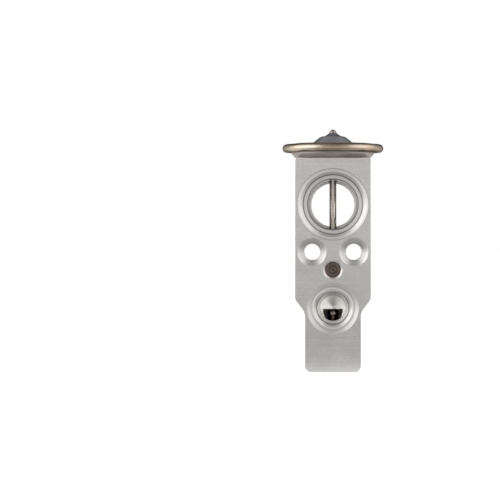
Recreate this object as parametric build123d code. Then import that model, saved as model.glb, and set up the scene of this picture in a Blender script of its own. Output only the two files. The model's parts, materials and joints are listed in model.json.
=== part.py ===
"""Block-type thermostatic expansion valve for a vehicle's air conditioning.

An aluminium block carries two passages across it, front to back. The upper one takes cold vapour from
the evaporator to the compressor. The lower one takes liquid in at the front, past a sprung ball, and out
at the back. A gas-charged head on top bends a thin diaphragm, and a rod hands its travel down through
the vapour to the ball.

The frame: +Z runs up the valve from the flat foot, +X runs across its width, and -Y is the front, the
pipe side. The origin is on the foot, on the axis of the rod. Sizes are in millimetres. The pieces stand
as they do on a bench, where the gas in the head holds the ball off its seat.
"""

import math
import os

from build123d import *

# Block: outline seen from the front
BODY_WIDTH = 33.0
BODY_DEPTH = 34.0
BODY_HEIGHT = 92.4
TAIL_WIDTH = 24.4
SHOULDER_FOOT_Z = 25.8
SHOULDER_RISE = 5.6
SHOULDER_RADIUS = 5.0
FOOT_RADIUS = 3.0
TOP_CORNER_RADIUS = 0.8
EDGE_BREAK = 0.25

# Heights of the cross passages and fastening holes, from the top or above the foot
SUCTION_BELOW_TOP = 20.2
BOLT_Z = 51.75
CLAMP_THREAD_Z = 44.1
OUTLET_Z = 35.6
INLET_Z = 27.5

# Vapour passage: a through bore with a pipe seat at each end
SUCTION_BORE_RADIUS = 9.4
SUCTION_SEAT_RADIUS = 10.95
SUCTION_MOUTH_RADIUS = 15.5
SUCTION_FRONT_STEP_RADIUS = 12.9
SUCTION_FRONT_STEP_DEPTH = 3.2
SUCTION_FRONT_STEP_CHAMFER = 0.25
SUCTION_FRONT_CONE_DEPTH = 0.3
SUCTION_FRONT_SEAT_DEPTH = 9.5
SUCTION_ROD_BORE_RADIUS = 10.6
SUCTION_ROD_BORE_PAST_AXIS = 3.0
SUCTION_ROD_BORE_LEDGE = 0.35
SUCTION_BACK_SEAT_DEPTH = 10.0

# Liquid inlet at the front: a pipe seat, then a drilled hole that breaks into the ball's chamber
INLET_MOUTH_RADIUS = 11.15
INLET_SEAT_RADIUS = 7.05
INLET_SEAT_DEPTH = 9.0
INLET_SEAT_LEDGE = 0.25
INLET_CORE_RADIUS = 5.5
INLET_TIP_SHORT_OF_SEAT = 0.05

# Outlet at the back, towards the evaporator: a pipe seat, then a drilled hole that crosses the rod's axis
OUTLET_MOUTH_RADIUS = 12.85
OUTLET_SEAT_RADIUS = 9.2
OUTLET_SEAT_DEPTH = 9.5
OUTLET_SEAT_LEDGE = 1.3
OUTLET_CORE_RADIUS = 5.8
OUTLET_TIP_PAST_AXIS = 3.0

# Mouth of each port: a shallow cone, a flat ring, and a 45 degree lead-in
MOUTH_CONE_DEPTH = 0.5
MOUTH_RING_WIDTH = 1.0
MOUTH_LEAD_IN = 1.3

# Two screws go through the block from the front, and a third thread clamps the pipes
BOLT_SPACING = 18.0
BOLT_RADIUS = 3.5
COUNTERSINK_RADIUS = 6.2
BOLT_BACK_CHAMFER = 0.35
CLAMP_THREAD_RADIUS = 3.4
CLAMP_THREAD_MOUTH_RADIUS = 4.2
CLAMP_THREAD_DEPTH = 11.0

DRILL_POINT_ANGLE = 118.0

# Bores on the rod's axis, from the head down to the foot
HEAD_THREAD_RADIUS = 12.0
HEAD_SOCKET_DEPTH = 7.5
HEAD_SEAL_SEAT_RADIUS = 14.0
CEILING_HOLE_RADIUS = 2.0
GLAND_RADIUS = 3.5
GLAND_DEPTH = 6.0
STEM_BORE_RADIUS = 2.4
STEM_BORE_BELOW_OUTLET = 0.5
SEAT_WEB = 2.3
ORIFICE_RADIUS = 1.6
SEAT_CONE_RADIUS = 1.95
CHAMBER_RADIUS = 6.3
ADJUSTER_THREAD_RADIUS = 7.0
ADJUSTER_THREAD_TOP_Z = 7.5
ADJUSTER_MOUTH_CHAMFER = 0.5

# Rod, pin and ball
STROKE = 0.7
ROD_RADIUS = 1.5
ROD_END_CHAMFER = 0.3
ROD_FOOT_ABOVE_OUTLET_AXIS = 0.8
PIN_RADIUS = 0.75
PIN_SOCKET_DEPTH = 3.0
BALL_RADIUS = 2.38
SEAT_GAP = 0.02

# Gland around the rod, pressed into the floor of the vapour passage
RUNNING_CLEARANCE = 0.05
GUIDE_COLLAR_HEIGHT = 2.6
GUIDE_SKIRT_LENGTH = 9.0
GUIDE_END_CHAMFER = 0.3
WASHER_THICKNESS = 0.35
WASHER_DISH = 0.4
WASHER_HOLE_RADIUS = 1.75
WASHER_SLOTS = 6
WASHER_SLOT_WIDTH = 0.6
WASHER_SLOT_REACH = 2.8

# Head: lower half, upper half, and the thin disc welded between them at the rim
NECK_LENGTH = 7.0
THREAD_CLEARANCE = 0.05
HEAD_SEAL_SECTION = 1.6
DISH_FOOT_RADIUS = 16.4
DISH_RIM_RADIUS = 17.9
DISH_CONE_HEIGHT = 1.9
DISH_RIM_FILLET = 0.8
HEAD_PLANE_ABOVE_BODY = 4.3
FLANGE_THICKNESS = 1.3
FLANGE_RADIUS = 20.2
BEAD_RADIUS = 1.8
COVER_THICKNESS = 1.3
COVER_STEP_OUTER_RADIUS = 17.6
COVER_STEP_INNER_RADIUS = 16.7
COVER_STEP_RISE = 0.8
CROWN_RADIUS = 20.0
CROWN_RISE = 5.8
DOME_SHOULDER_RADIUS = 5.5
DOME_SHOULDER_FILLET = 3.0
DOME_FOOT_RADIUS = 9.2
DOME_FOOT_FILLET = 1.2
COVER_BEND_RADIUS = 0.5
DIAPHRAGM_THICKNESS = 0.15
DIAPHRAGM_CLAMP_RADIUS = 15.4
DIAPHRAGM_FLAT_RADIUS = 6.5
DIAPHRAGM_WAVES = 3
DIAPHRAGM_WAVE_HEIGHT = 0.22

# Pressure pad under the diaphragm, with a hub that slides in the head's neck
PAD_RADIUS = 12.0
PAD_THICKNESS = 1.6
PAD_HUB_RADIUS = 4.95
PAD_HUB_LENGTH = 7.0
PAD_EDGE_RADIUS = 0.4
ROD_SOCKET_DEPTH = 3.5
PAD_SIDE_CLEARANCE = 1.8
PAD_STOP_CLEARANCE = 0.03

# Steel ball that closes the charging hole, and the cone of solder round it
PLUG_RADIUS = 1.5
PLUG_ABOVE_CROWN = 1.0
CHARGE_HOLE_RADIUS = 0.8
SOLDER_TOE_RADIUS = 3.45
SOLDER_TOP_ABOVE_PLUG = 0.1
SOLDER_HOLLOW = 0.1

# Ball carrier, damping ring and superheat spring
CARRIER_NECK_RADIUS = 2.3
CARRIER_TOP_BELOW_BALL = 0.7
CARRIER_NECK_LENGTH = 2.2
CARRIER_CONE_HEIGHT = 0.7
CARRIER_FLANGE_RADIUS = 5.1
CARRIER_FLANGE_THICKNESS = 1.1
CARRIER_STEM_RADIUS = 2.8
CARRIER_STEM_LENGTH = 4.6
RING_THICKNESS = 0.25
RING_HEIGHT = 4.4
RING_WALL_CLEARANCE = 0.05
RING_FINGERS = 6
RING_SLOT_WIDTH = 1.9
RING_BAND_HEIGHT = 1.3
SPRING_WIRE_RADIUS = 0.6
SPRING_MEAN_RADIUS = 4.1
SPRING_TURNS = 5.5

# Adjusting screw in the foot, with its seal
SCREW_BOTTOM_Z = 1.5
SCREW_THREAD_LENGTH = 4.0
SCREW_LENGTH = 8.0
SCREW_PILOT_CLEARANCE = 0.06
SCREW_CHAMFER = 0.5
SCREW_SEAL_FLOOR_RADIUS = 4.5
SCREW_SEAL_GROOVE_HEIGHT = 1.9
SCREW_SEAL_FROM_TOP = 0.9
SCREW_BOSS_RADIUS = 3.2
SCREW_BOSS_HEIGHT = 1.2
HEX_ACROSS_FLATS = 6.0
HEX_DEPTH = 4.3
SEAL_SIDE_CLEARANCE = 0.02

# How far a cutter starts outside the face that it cuts
CUTTER_OVERRUN = 1.0

# Places that follow from the sizes above
front_y = -BODY_DEPTH / 2
back_y = BODY_DEPTH / 2
drill_slope = 1 / math.tan(math.radians(DRILL_POINT_ANGLE / 2))
inlet_tip_depth = BODY_DEPTH / 2 - SEAT_CONE_RADIUS - INLET_TIP_SHORT_OF_SEAT
suction_z = BODY_HEIGHT - SUCTION_BELOW_TOP
gland_floor_z = suction_z - SUCTION_ROD_BORE_RADIUS - GLAND_DEPTH
stem_bore_floor_z = OUTLET_Z - OUTLET_CORE_RADIUS - STEM_BORE_BELOW_OUTLET
chamber_top_z = stem_bore_floor_z - SEAT_WEB
seat_cone_apex_z = chamber_top_z + SEAT_CONE_RADIUS
ball_closed_z = seat_cone_apex_z - (BALL_RADIUS + SEAT_GAP) * math.sqrt(2)
ball_z = ball_closed_z - STROKE
rod_foot_z = OUTLET_Z + ROD_FOOT_ABOVE_OUTLET_AXIS
head_plane_z = BODY_HEIGHT + HEAD_PLANE_ABOVE_BODY
flange_top_z = head_plane_z + DIAPHRAGM_THICKNESS / 2
flange_bottom_z = head_plane_z - DIAPHRAGM_THICKNESS / 2
pad_top_z = flange_bottom_z - STROKE
pad_bottom_z = pad_top_z - PAD_THICKNESS
pad_seat_z = pad_bottom_z - PAD_STOP_CLEARANCE
hub_foot_z = pad_bottom_z - PAD_HUB_LENGTH
rod_top_z = hub_foot_z + ROD_SOCKET_DEPTH
crown_top_z = head_plane_z + CROWN_RISE
crown_centre_z = crown_top_z - CROWN_RADIUS
plug_z = crown_top_z + PLUG_ABOVE_CROWN
carrier_top_z = ball_z - CARRIER_TOP_BELOW_BALL
carrier_cone_z = carrier_top_z - CARRIER_NECK_LENGTH
carrier_flange_top_z = carrier_cone_z - CARRIER_CONE_HEIGHT
spring_top_z = carrier_flange_top_z - CARRIER_FLANGE_THICKNESS
spring_foot_z = SCREW_BOTTOM_Z + SCREW_LENGTH
screw_seal_top_z = spring_foot_z - SCREW_SEAL_FROM_TOP
screw_seal_z = screw_seal_top_z - SCREW_SEAL_GROOVE_HEIGHT / 2


def outline(points):
    """A closed flat profile through (radius, height) points, in the plane of the axis."""
    return make_face(Polyline(*points, close=True))


def turned(profile):
    """The solid that a profile in (radius, height) sweeps in one turn about Z."""
    return revolve(Plane.XZ * profile, Axis.Z)


def rounded(profile, corners):
    """The profile with the corner nearest to each given point rounded to its radius."""
    for point, radius in corners:
        corner = profile.vertices().sort_by_distance(Vector(*point))[0]
        profile = fillet(corner, radius)
    return profile


def from_front(cutter, x, z):
    """A cutter whose Z is depth, set to enter the block at the front face."""
    return Pos(x, front_y, z) * Rot(-90, 0, 0) * cutter


def from_back(cutter, x, z):
    """A cutter whose Z is depth, set to enter the block at the back face."""
    return Pos(x, back_y, z) * Rot(90, 0, 0) * cutter


def block():
    """The plain block: the front outline with its waist, run through the depth."""
    half_body = BODY_WIDTH / 2
    half_tail = TAIL_WIDTH / 2
    shoulder_top_z = SHOULDER_FOOT_Z + SHOULDER_RISE
    right_side = [
        (half_tail, 0),
        (half_tail, SHOULDER_FOOT_Z),
        (half_body, shoulder_top_z),
        (half_body, BODY_HEIGHT),
    ]
    left_side = [(-x, z) for x, z in reversed(right_side)]
    face = outline(right_side + left_side)
    for side in (-1, 1):
        face = rounded(
            face,
            [
                ((side * half_tail, 0), FOOT_RADIUS),
                ((side * half_tail, SHOULDER_FOOT_Z), SHOULDER_RADIUS),
                ((side * half_body, shoulder_top_z), SHOULDER_RADIUS),
                ((side * half_body, BODY_HEIGHT), TOP_CORNER_RADIUS),
            ],
        )
    solid = extrude(Plane.XZ * face, BODY_DEPTH / 2, both=True)
    rims = solid.faces().sort_by(Axis.Y)
    return chamfer(rims[0].edges() + rims[-1].edges(), EDGE_BREAK)


def port_mouth(mouth_radius, seat_radius):
    """The outline of a port from outside the face to where its seat begins."""
    lead_in_radius = seat_radius + MOUTH_LEAD_IN
    return [
        (0, -CUTTER_OVERRUN),
        (mouth_radius, -CUTTER_OVERRUN),
        (mouth_radius, 0),
        (lead_in_radius + MOUTH_RING_WIDTH, MOUTH_CONE_DEPTH),
        (lead_in_radius, MOUTH_CONE_DEPTH),
        (seat_radius, MOUTH_CONE_DEPTH + MOUTH_LEAD_IN),
    ]


def seat_floor(seat_radius, depth, ledge, core_radius):
    """The outline of a seat's end: a flat ledge and a 45 degree cone down to the hole behind it."""
    ledge_radius = seat_radius - ledge
    return [
        (seat_radius, depth),
        (ledge_radius, depth),
        (core_radius, depth + ledge_radius - core_radius),
    ]


def drill_point(core_radius, tip_depth):
    """The outline of a drilled hole's end."""
    return [(core_radius, tip_depth - core_radius * drill_slope), (0, tip_depth)]


def suction_front_cutter():
    """The compressor side of the vapour passage: a step, a pipe seat, and a wide bore on past the rod."""
    step_edge = SUCTION_SEAT_RADIUS + SUCTION_FRONT_STEP_CHAMFER
    floor = seat_floor(
        SUCTION_ROD_BORE_RADIUS,
        BODY_DEPTH / 2 + SUCTION_ROD_BORE_PAST_AXIS,
        SUCTION_ROD_BORE_LEDGE,
        SUCTION_BORE_RADIUS,
    )
    return turned(
        outline(
            [
                (0, -CUTTER_OVERRUN),
                (SUCTION_MOUTH_RADIUS, -CUTTER_OVERRUN),
                (SUCTION_MOUTH_RADIUS, 0),
                (SUCTION_FRONT_STEP_RADIUS + MOUTH_LEAD_IN, SUCTION_FRONT_CONE_DEPTH),
                (SUCTION_FRONT_STEP_RADIUS, SUCTION_FRONT_CONE_DEPTH + MOUTH_LEAD_IN),
                (SUCTION_FRONT_STEP_RADIUS, SUCTION_FRONT_STEP_DEPTH),
                (step_edge, SUCTION_FRONT_STEP_DEPTH),
                (SUCTION_SEAT_RADIUS, SUCTION_FRONT_STEP_DEPTH + SUCTION_FRONT_STEP_CHAMFER),
                (SUCTION_SEAT_RADIUS, SUCTION_FRONT_SEAT_DEPTH),
                (SUCTION_ROD_BORE_RADIUS, SUCTION_FRONT_SEAT_DEPTH),
                *floor,
                (0, floor[-1][1]),
            ]
        )
    )


def suction_back_cutter():
    """The evaporator side of the vapour passage: the mouth and the pipe seat with a flat floor."""
    return turned(
        outline(
            [
                *port_mouth(SUCTION_MOUTH_RADIUS, SUCTION_SEAT_RADIUS),
                (SUCTION_SEAT_RADIUS, SUCTION_BACK_SEAT_DEPTH),
                (0, SUCTION_BACK_SEAT_DEPTH),
            ]
        )
    )


def inlet_cutter():
    """The liquid inlet: the mouth, the pipe seat and a drilled hole that stops short of the ball's seat."""
    return turned(
        outline(
            [
                *port_mouth(INLET_MOUTH_RADIUS, INLET_SEAT_RADIUS),
                *seat_floor(INLET_SEAT_RADIUS, INLET_SEAT_DEPTH, INLET_SEAT_LEDGE, INLET_CORE_RADIUS),
                *drill_point(INLET_CORE_RADIUS, inlet_tip_depth),
            ]
        )
    )


def outlet_cutter():
    """The outlet: the mouth, the pipe seat and a drilled hole that crosses the rod's axis."""
    return turned(
        outline(
            [
                *port_mouth(OUTLET_MOUTH_RADIUS, OUTLET_SEAT_RADIUS),
                *seat_floor(OUTLET_SEAT_RADIUS, OUTLET_SEAT_DEPTH, OUTLET_SEAT_LEDGE, OUTLET_CORE_RADIUS),
                *drill_point(OUTLET_CORE_RADIUS, BODY_DEPTH / 2 + OUTLET_TIP_PAST_AXIS),
            ]
        )
    )


def bolt_hole_cutter():
    """A clearance hole with a countersink at the front and a broken edge at the back."""
    length = BODY_DEPTH + CUTTER_OVERRUN
    return turned(
        outline(
            [
                (0, -CUTTER_OVERRUN),
                (COUNTERSINK_RADIUS, -CUTTER_OVERRUN),
                (COUNTERSINK_RADIUS, 0),
                (BOLT_RADIUS, COUNTERSINK_RADIUS - BOLT_RADIUS),
                (BOLT_RADIUS, BODY_DEPTH - BOLT_BACK_CHAMFER),
                (BOLT_RADIUS + BOLT_BACK_CHAMFER, BODY_DEPTH),
                (BOLT_RADIUS + BOLT_BACK_CHAMFER, length),
                (0, length),
            ]
        )
    )


def clamp_thread_cutter():
    """The blind tapped hole, drawn at its core, with its chamfer and the drill's point."""
    return turned(
        outline(
            [
                (0, -CUTTER_OVERRUN),
                (CLAMP_THREAD_MOUTH_RADIUS, -CUTTER_OVERRUN),
                (CLAMP_THREAD_MOUTH_RADIUS, 0),
                (CLAMP_THREAD_RADIUS, CLAMP_THREAD_MOUTH_RADIUS - CLAMP_THREAD_RADIUS),
                *drill_point(CLAMP_THREAD_RADIUS, CLAMP_THREAD_DEPTH + CLAMP_THREAD_RADIUS * drill_slope),
            ]
        )
    )


def axis_bore_cutter():
    """Every bore on the rod's axis, from the head's socket down to the adjusting screw's mouth."""
    socket_floor_z = BODY_HEIGHT - HEAD_SOCKET_DEPTH
    seal_floor_z = BODY_HEIGHT - HEAD_SEAL_SECTION
    orifice_edge_z = seat_cone_apex_z - ORIFICE_RADIUS
    mouth_radius = ADJUSTER_THREAD_RADIUS + ADJUSTER_MOUTH_CHAMFER
    above_body_z = BODY_HEIGHT + CUTTER_OVERRUN
    return turned(
        outline(
            [
                (0, above_body_z),
                (HEAD_SEAL_SEAT_RADIUS, above_body_z),
                (HEAD_SEAL_SEAT_RADIUS, seal_floor_z),
                (HEAD_THREAD_RADIUS, seal_floor_z),
                (HEAD_THREAD_RADIUS, socket_floor_z),
                (CEILING_HOLE_RADIUS, socket_floor_z),
                (CEILING_HOLE_RADIUS, suction_z),
                (GLAND_RADIUS, suction_z),
                (GLAND_RADIUS, gland_floor_z),
                (STEM_BORE_RADIUS, gland_floor_z),
                (STEM_BORE_RADIUS, stem_bore_floor_z),
                (ORIFICE_RADIUS, stem_bore_floor_z),
                (ORIFICE_RADIUS, orifice_edge_z),
                (SEAT_CONE_RADIUS, chamber_top_z),
                (CHAMBER_RADIUS, chamber_top_z),
                (CHAMBER_RADIUS, ADJUSTER_THREAD_TOP_Z),
                (ADJUSTER_THREAD_RADIUS, ADJUSTER_THREAD_TOP_Z),
                (ADJUSTER_THREAD_RADIUS, ADJUSTER_MOUTH_CHAMFER),
                (mouth_radius, 0),
                (mouth_radius, -CUTTER_OVERRUN),
                (0, -CUTTER_OVERRUN),
            ]
        )
    )


def valve_body():
    """The aluminium block with all its passages and holes."""
    through = Pos(0, 0, suction_z) * Rot(90, 0, 0) * Cylinder(SUCTION_BORE_RADIUS, BODY_DEPTH)
    body = block() - through
    body -= from_front(suction_front_cutter(), 0, suction_z)
    body -= from_back(suction_back_cutter(), 0, suction_z)
    body -= from_front(inlet_cutter(), 0, INLET_Z)
    body -= from_back(outlet_cutter(), 0, OUTLET_Z)
    body -= from_front(clamp_thread_cutter(), 0, CLAMP_THREAD_Z)
    for side in (-1, 1):
        body -= from_front(bolt_hole_cutter(), side * BOLT_SPACING / 2, BOLT_Z)
    return body - axis_bore_cutter()


def ring_seal(inner_radius, outer_radius, centre_z):
    """A round rubber ring that just fits between two radii."""
    section_radius = (outer_radius - inner_radius) / 2
    return Pos(0, 0, centre_z) * Torus((inner_radius + outer_radius) / 2, section_radius)


def head_base():
    """The head's lower half: threaded neck, dished foot on the block, and the rim's lower flange."""
    neck_radius = HEAD_THREAD_RADIUS - THREAD_CLEARANCE
    neck_foot_z = BODY_HEIGHT - NECK_LENGTH
    flange_foot_z = flange_bottom_z - FLANGE_THICKNESS
    well_radius = PAD_RADIUS + PAD_SIDE_CLEARANCE
    bore_radius = PAD_HUB_RADIUS + RUNNING_CLEARANCE
    profile = outline(
        [
            (bore_radius, neck_foot_z),
            (neck_radius, neck_foot_z),
            (neck_radius, BODY_HEIGHT),
            (DISH_FOOT_RADIUS, BODY_HEIGHT),
            (DISH_RIM_RADIUS, BODY_HEIGHT + DISH_CONE_HEIGHT),
            (DISH_RIM_RADIUS, flange_foot_z),
            (FLANGE_RADIUS, flange_foot_z),
            (FLANGE_RADIUS, flange_bottom_z),
            (well_radius, flange_bottom_z),
            (well_radius, pad_seat_z),
            (bore_radius, pad_seat_z),
        ]
    )
    dish_rim = (DISH_RIM_RADIUS, BODY_HEIGHT + DISH_CONE_HEIGHT)
    return turned(rounded(profile, [(dish_rim, DISH_RIM_FILLET)]))


def crown_point(sphere_radius, radius):
    """The point this far from the axis on a sphere about the crown's centre."""
    return (radius, crown_centre_z + math.sqrt(sphere_radius**2 - radius**2))


def crown_arc(sphere_radius, radius):
    """The curve on a sphere about the crown's centre, from this far out in to the axis."""
    middle = crown_point(sphere_radius, radius / 2)
    return ThreePointArc(crown_point(sphere_radius, radius), middle, crown_point(sphere_radius, 0))


def inside_corner(corner, first_slope, second_slope):
    """The corner's twin on the sheet's inner face, between faces of these two slopes in radians."""
    middle_slope = (first_slope + second_slope) / 2
    reach = COVER_THICKNESS / math.cos((first_slope - second_slope) / 2)
    return (corner[0] - reach * math.sin(middle_slope), corner[1] - reach * math.cos(middle_slope))


def head_cover():
    """The head's upper half, pressed from one sheet: rim flange, step, cone-sided dome and crown."""
    flange_upper_z = flange_top_z + FLANGE_THICKNESS
    step_z = flange_upper_z + COVER_STEP_RISE
    inner_step_z = step_z - COVER_THICKNESS
    shoulder = crown_point(CROWN_RADIUS, DOME_SHOULDER_RADIUS)
    foot = (DOME_FOOT_RADIUS, step_z)
    crown_slope = math.asin(DOME_SHOULDER_RADIUS / CROWN_RADIUS)
    flank_slope = math.atan2(shoulder[1] - foot[1], foot[0] - shoulder[0])
    inner_shoulder_radius = inside_corner(shoulder, crown_slope, flank_slope)[0]
    outer_crown = crown_arc(CROWN_RADIUS, DOME_SHOULDER_RADIUS)
    inner_crown = crown_arc(CROWN_RADIUS - COVER_THICKNESS, inner_shoulder_radius)
    sheet = Polyline(
        shoulder,
        foot,
        (COVER_STEP_INNER_RADIUS, step_z),
        (COVER_STEP_OUTER_RADIUS, flange_upper_z),
        (FLANGE_RADIUS, flange_upper_z),
        (FLANGE_RADIUS, flange_top_z),
        (COVER_STEP_OUTER_RADIUS - COVER_BEND_RADIUS, flange_top_z),
        (COVER_STEP_INNER_RADIUS - COVER_BEND_RADIUS, inner_step_z),
        inside_corner(foot, flank_slope, 0),
        inner_crown @ 0,
    )
    profile = make_face([outer_crown, sheet, inner_crown, Line(outer_crown @ 1, inner_crown @ 1)])
    profile = rounded(
        profile,
        [
            (shoulder, DOME_SHOULDER_FILLET),
            (foot, DOME_FOOT_FILLET),
            ((COVER_STEP_INNER_RADIUS, step_z), COVER_BEND_RADIUS),
            ((COVER_STEP_OUTER_RADIUS, flange_upper_z), COVER_BEND_RADIUS),
        ],
    )
    hole = Pos(0, 0, crown_top_z) * Cylinder(CHARGE_HOLE_RADIUS, 4 * COVER_THICKNESS)
    return turned(profile) - charge_plug() - hole


def rim_weld():
    """The bead that melts the edges of both halves and the diaphragm into one round rim."""
    stack = 2 * FLANGE_THICKNESS + DIAPHRAGM_THICKNESS
    bead = Pos(0, 0, head_plane_z) * Torus(FLANGE_RADIUS, BEAD_RADIUS)
    return bead - Pos(0, 0, head_plane_z) * Cylinder(FLANGE_RADIUS, stack)


def ripple(points):
    """A chain of arcs through the points, level at each of them."""
    arcs = []
    for start, end in zip(points, points[1:]):
        middle = ((start[0] + end[0]) / 2, (start[1] + end[1]) / 2)
        arcs.append(TangentArc(start, middle, tangent=(1, 0)))
        arcs.append(TangentArc(end, middle, tangent=(-1, 0)))
    return arcs


def diaphragm():
    """The thin disc with its ring waves, bent down onto the pad at the centre."""
    span = DIAPHRAGM_CLAMP_RADIUS - DIAPHRAGM_FLAT_RADIUS
    half_waves = 2 * DIAPHRAGM_WAVES

    def lower_face(i):
        """The lower face's trough or crest at the end of this half wave, counted from the centre."""
        sag = STROKE * (1 + math.cos(math.pi * i / half_waves)) / 2
        wave = DIAPHRAGM_WAVE_HEIGHT * (i % 2)
        return (DIAPHRAGM_FLAT_RADIUS + span * i / half_waves, flange_bottom_z - sag + wave)

    lower = [lower_face(i) for i in range(half_waves + 1)]
    upper = [(radius, height + DIAPHRAGM_THICKNESS) for radius, height in lower]
    edge = Polyline(
        lower[-1],
        (FLANGE_RADIUS, lower[-1][1]),
        (FLANGE_RADIUS, upper[-1][1]),
        upper[-1],
    )
    centre = Polyline(upper[0], (0, upper[0][1]), (0, lower[0][1]), lower[0])
    return turned(make_face([*ripple(lower), edge, *ripple(upper), centre]))


def diaphragm_pad():
    """The disc under the diaphragm, with a hub that slides in the neck and holds the rod's top."""
    profile = outline(
        [
            (0, pad_top_z),
            (PAD_RADIUS, pad_top_z),
            (PAD_RADIUS, pad_bottom_z),
            (PAD_HUB_RADIUS, pad_bottom_z),
            (PAD_HUB_RADIUS, hub_foot_z),
            (ROD_RADIUS, hub_foot_z),
            (ROD_RADIUS, rod_top_z),
            (0, rod_top_z),
        ]
    )
    return turned(rounded(profile, [((PAD_RADIUS, pad_top_z), PAD_EDGE_RADIUS)]))


def charge_plug():
    """The steel ball welded into the charging hole at the top of the crown."""
    return Pos(0, 0, plug_z) * Sphere(PLUG_RADIUS)


def plug_solder():
    """The cone of solder that fills the corner between the ball and the crown."""
    top = (math.sqrt(PLUG_RADIUS**2 - SOLDER_TOP_ABOVE_PLUG**2), plug_z + SOLDER_TOP_ABOVE_PLUG)
    toe = crown_point(CROWN_RADIUS, SOLDER_TOE_RADIUS)
    fall = math.atan2(top[1] - toe[1], toe[0] - top[0])
    hollow = (
        (top[0] + toe[0]) / 2 - SOLDER_HOLLOW * math.sin(fall),
        (top[1] + toe[1]) / 2 - SOLDER_HOLLOW * math.cos(fall),
    )
    flank = ThreePointArc(top, hollow, toe)
    floor_z = crown_top_z - COVER_THICKNESS
    core = Polyline(toe, (SOLDER_TOE_RADIUS, floor_z), (0, floor_z), (0, top[1]), top)
    crown = Pos(0, 0, crown_centre_z) * Sphere(CROWN_RADIUS)
    return turned(make_face([flank, core])) - crown - charge_plug()


def head_seal():
    """The ring that seals the head to the block, in the step round the socket."""
    neck_radius = HEAD_THREAD_RADIUS - THREAD_CLEARANCE
    middle = (neck_radius + HEAD_SEAL_SEAT_RADIUS) / 2
    half = HEAD_SEAL_SECTION / 2
    return ring_seal(middle - half, middle + half, BODY_HEIGHT - half)


def push_rod():
    """The sensing rod, which crosses the vapour and ends in a socket for the pin."""
    chamfered = ROD_RADIUS - ROD_END_CHAMFER
    socket_top_z = rod_foot_z + PIN_SOCKET_DEPTH
    return turned(
        outline(
            [
                (PIN_RADIUS, rod_foot_z),
                (chamfered, rod_foot_z),
                (ROD_RADIUS, rod_foot_z + ROD_END_CHAMFER),
                (ROD_RADIUS, rod_top_z - ROD_END_CHAMFER),
                (chamfered, rod_top_z),
                (0, rod_top_z),
                (0, socket_top_z),
                (PIN_RADIUS, socket_top_z),
            ]
        )
    )


def valve_pin():
    """The thin pin that reaches through the orifice and pushes the ball."""
    foot_z = ball_z + BALL_RADIUS
    length = rod_foot_z + PIN_SOCKET_DEPTH - foot_z
    return Pos(0, 0, foot_z + length / 2) * Cylinder(PIN_RADIUS, length)


def rod_guide():
    """The bush pressed into the gland, whose skirt guides the rod."""
    bore_radius = ROD_RADIUS + RUNNING_CLEARANCE
    skirt_foot_z = gland_floor_z - GUIDE_SKIRT_LENGTH
    return turned(
        outline(
            [
                (bore_radius, skirt_foot_z),
                (STEM_BORE_RADIUS - GUIDE_END_CHAMFER, skirt_foot_z),
                (STEM_BORE_RADIUS, skirt_foot_z + GUIDE_END_CHAMFER),
                (STEM_BORE_RADIUS, gland_floor_z),
                (GLAND_RADIUS, gland_floor_z),
                (GLAND_RADIUS, gland_floor_z + GUIDE_COLLAR_HEIGHT),
                (bore_radius, gland_floor_z + GUIDE_COLLAR_HEIGHT),
            ]
        )
    )


def rod_seal_radii():
    """The inner and outer radius of the ring that seals the rod."""
    return ROD_RADIUS + RUNNING_CLEARANCE, GLAND_RADIUS - SEAL_SIDE_CLEARANCE


def rod_seal():
    """The ring that seals the rod, on top of the guide's collar."""
    inner_radius, outer_radius = rod_seal_radii()
    half = (outer_radius - inner_radius) / 2
    return ring_seal(inner_radius, outer_radius, gland_floor_z + GUIDE_COLLAR_HEIGHT + half)


def gland_washer():
    """The dished, slotted washer that bites the gland's wall and keeps the seal down."""
    inner_radius, outer_radius = rod_seal_radii()
    foot_z = gland_floor_z + GUIDE_COLLAR_HEIGHT + outer_radius - inner_radius
    washer = turned(
        outline(
            [
                (WASHER_HOLE_RADIUS, foot_z),
                (WASHER_HOLE_RADIUS, foot_z + WASHER_THICKNESS),
                (GLAND_RADIUS, foot_z + WASHER_THICKNESS + WASHER_DISH),
                (GLAND_RADIUS, foot_z + WASHER_DISH),
            ]
        )
    )
    slot_length = 2 * WASHER_SLOT_REACH
    slot_height = 4 * (WASHER_THICKNESS + WASHER_DISH)
    for i in range(WASHER_SLOTS // 2):
        turn = Rot(0, 0, i * 360 / WASHER_SLOTS)
        washer -= Pos(0, 0, foot_z) * turn * Box(slot_length, WASHER_SLOT_WIDTH, slot_height)
    return washer


def valve_ball():
    """The ball that closes the orifice."""
    return Pos(0, 0, ball_z) * Sphere(BALL_RADIUS)


def ball_carrier():
    """The carrier: a neck that cups the ball, a flange on the spring, and a stem inside it."""
    stem_foot_z = spring_top_z - CARRIER_STEM_LENGTH
    profile = outline(
        [
            (0, carrier_top_z),
            (CARRIER_NECK_RADIUS, carrier_top_z),
            (CARRIER_NECK_RADIUS, carrier_cone_z),
            (CARRIER_FLANGE_RADIUS, carrier_flange_top_z),
            (CARRIER_FLANGE_RADIUS, spring_top_z),
            (CARRIER_STEM_RADIUS, spring_top_z),
            (CARRIER_STEM_RADIUS, stem_foot_z + GUIDE_END_CHAMFER),
            (CARRIER_STEM_RADIUS - GUIDE_END_CHAMFER, stem_foot_z),
            (0, stem_foot_z),
        ]
    )
    return turned(profile) - valve_ball()


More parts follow.
